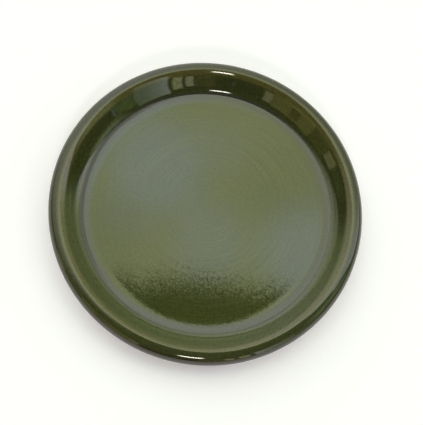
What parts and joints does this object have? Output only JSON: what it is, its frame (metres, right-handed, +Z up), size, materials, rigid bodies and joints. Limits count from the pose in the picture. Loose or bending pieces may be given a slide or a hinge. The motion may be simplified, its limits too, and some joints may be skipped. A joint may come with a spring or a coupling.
{
  "type": "plant saucer",
  "caption": "Round glazed stoneware saucer with a flat floor, a short sloping wall and a thick rounded lip, which catches the water under a plant pot.",
  "frame": {"origin": "centre of the circle on which the foot ring stands", "axes": "+Z up, along the saucer's axis of revolution; X and Y lie in the plane of the foot and are equivalent"},
  "size_m": [0.25, 0.25, 0.025],
  "materials": {
    "clay": null,
    "glaze": "glossy olive-green glass coat, amber where it runs thin on the lip"
  },
  "bodies": {
    "root": {"clay_body": "clay", "glaze_coat": "glaze"}
  },
  "joints": []
}
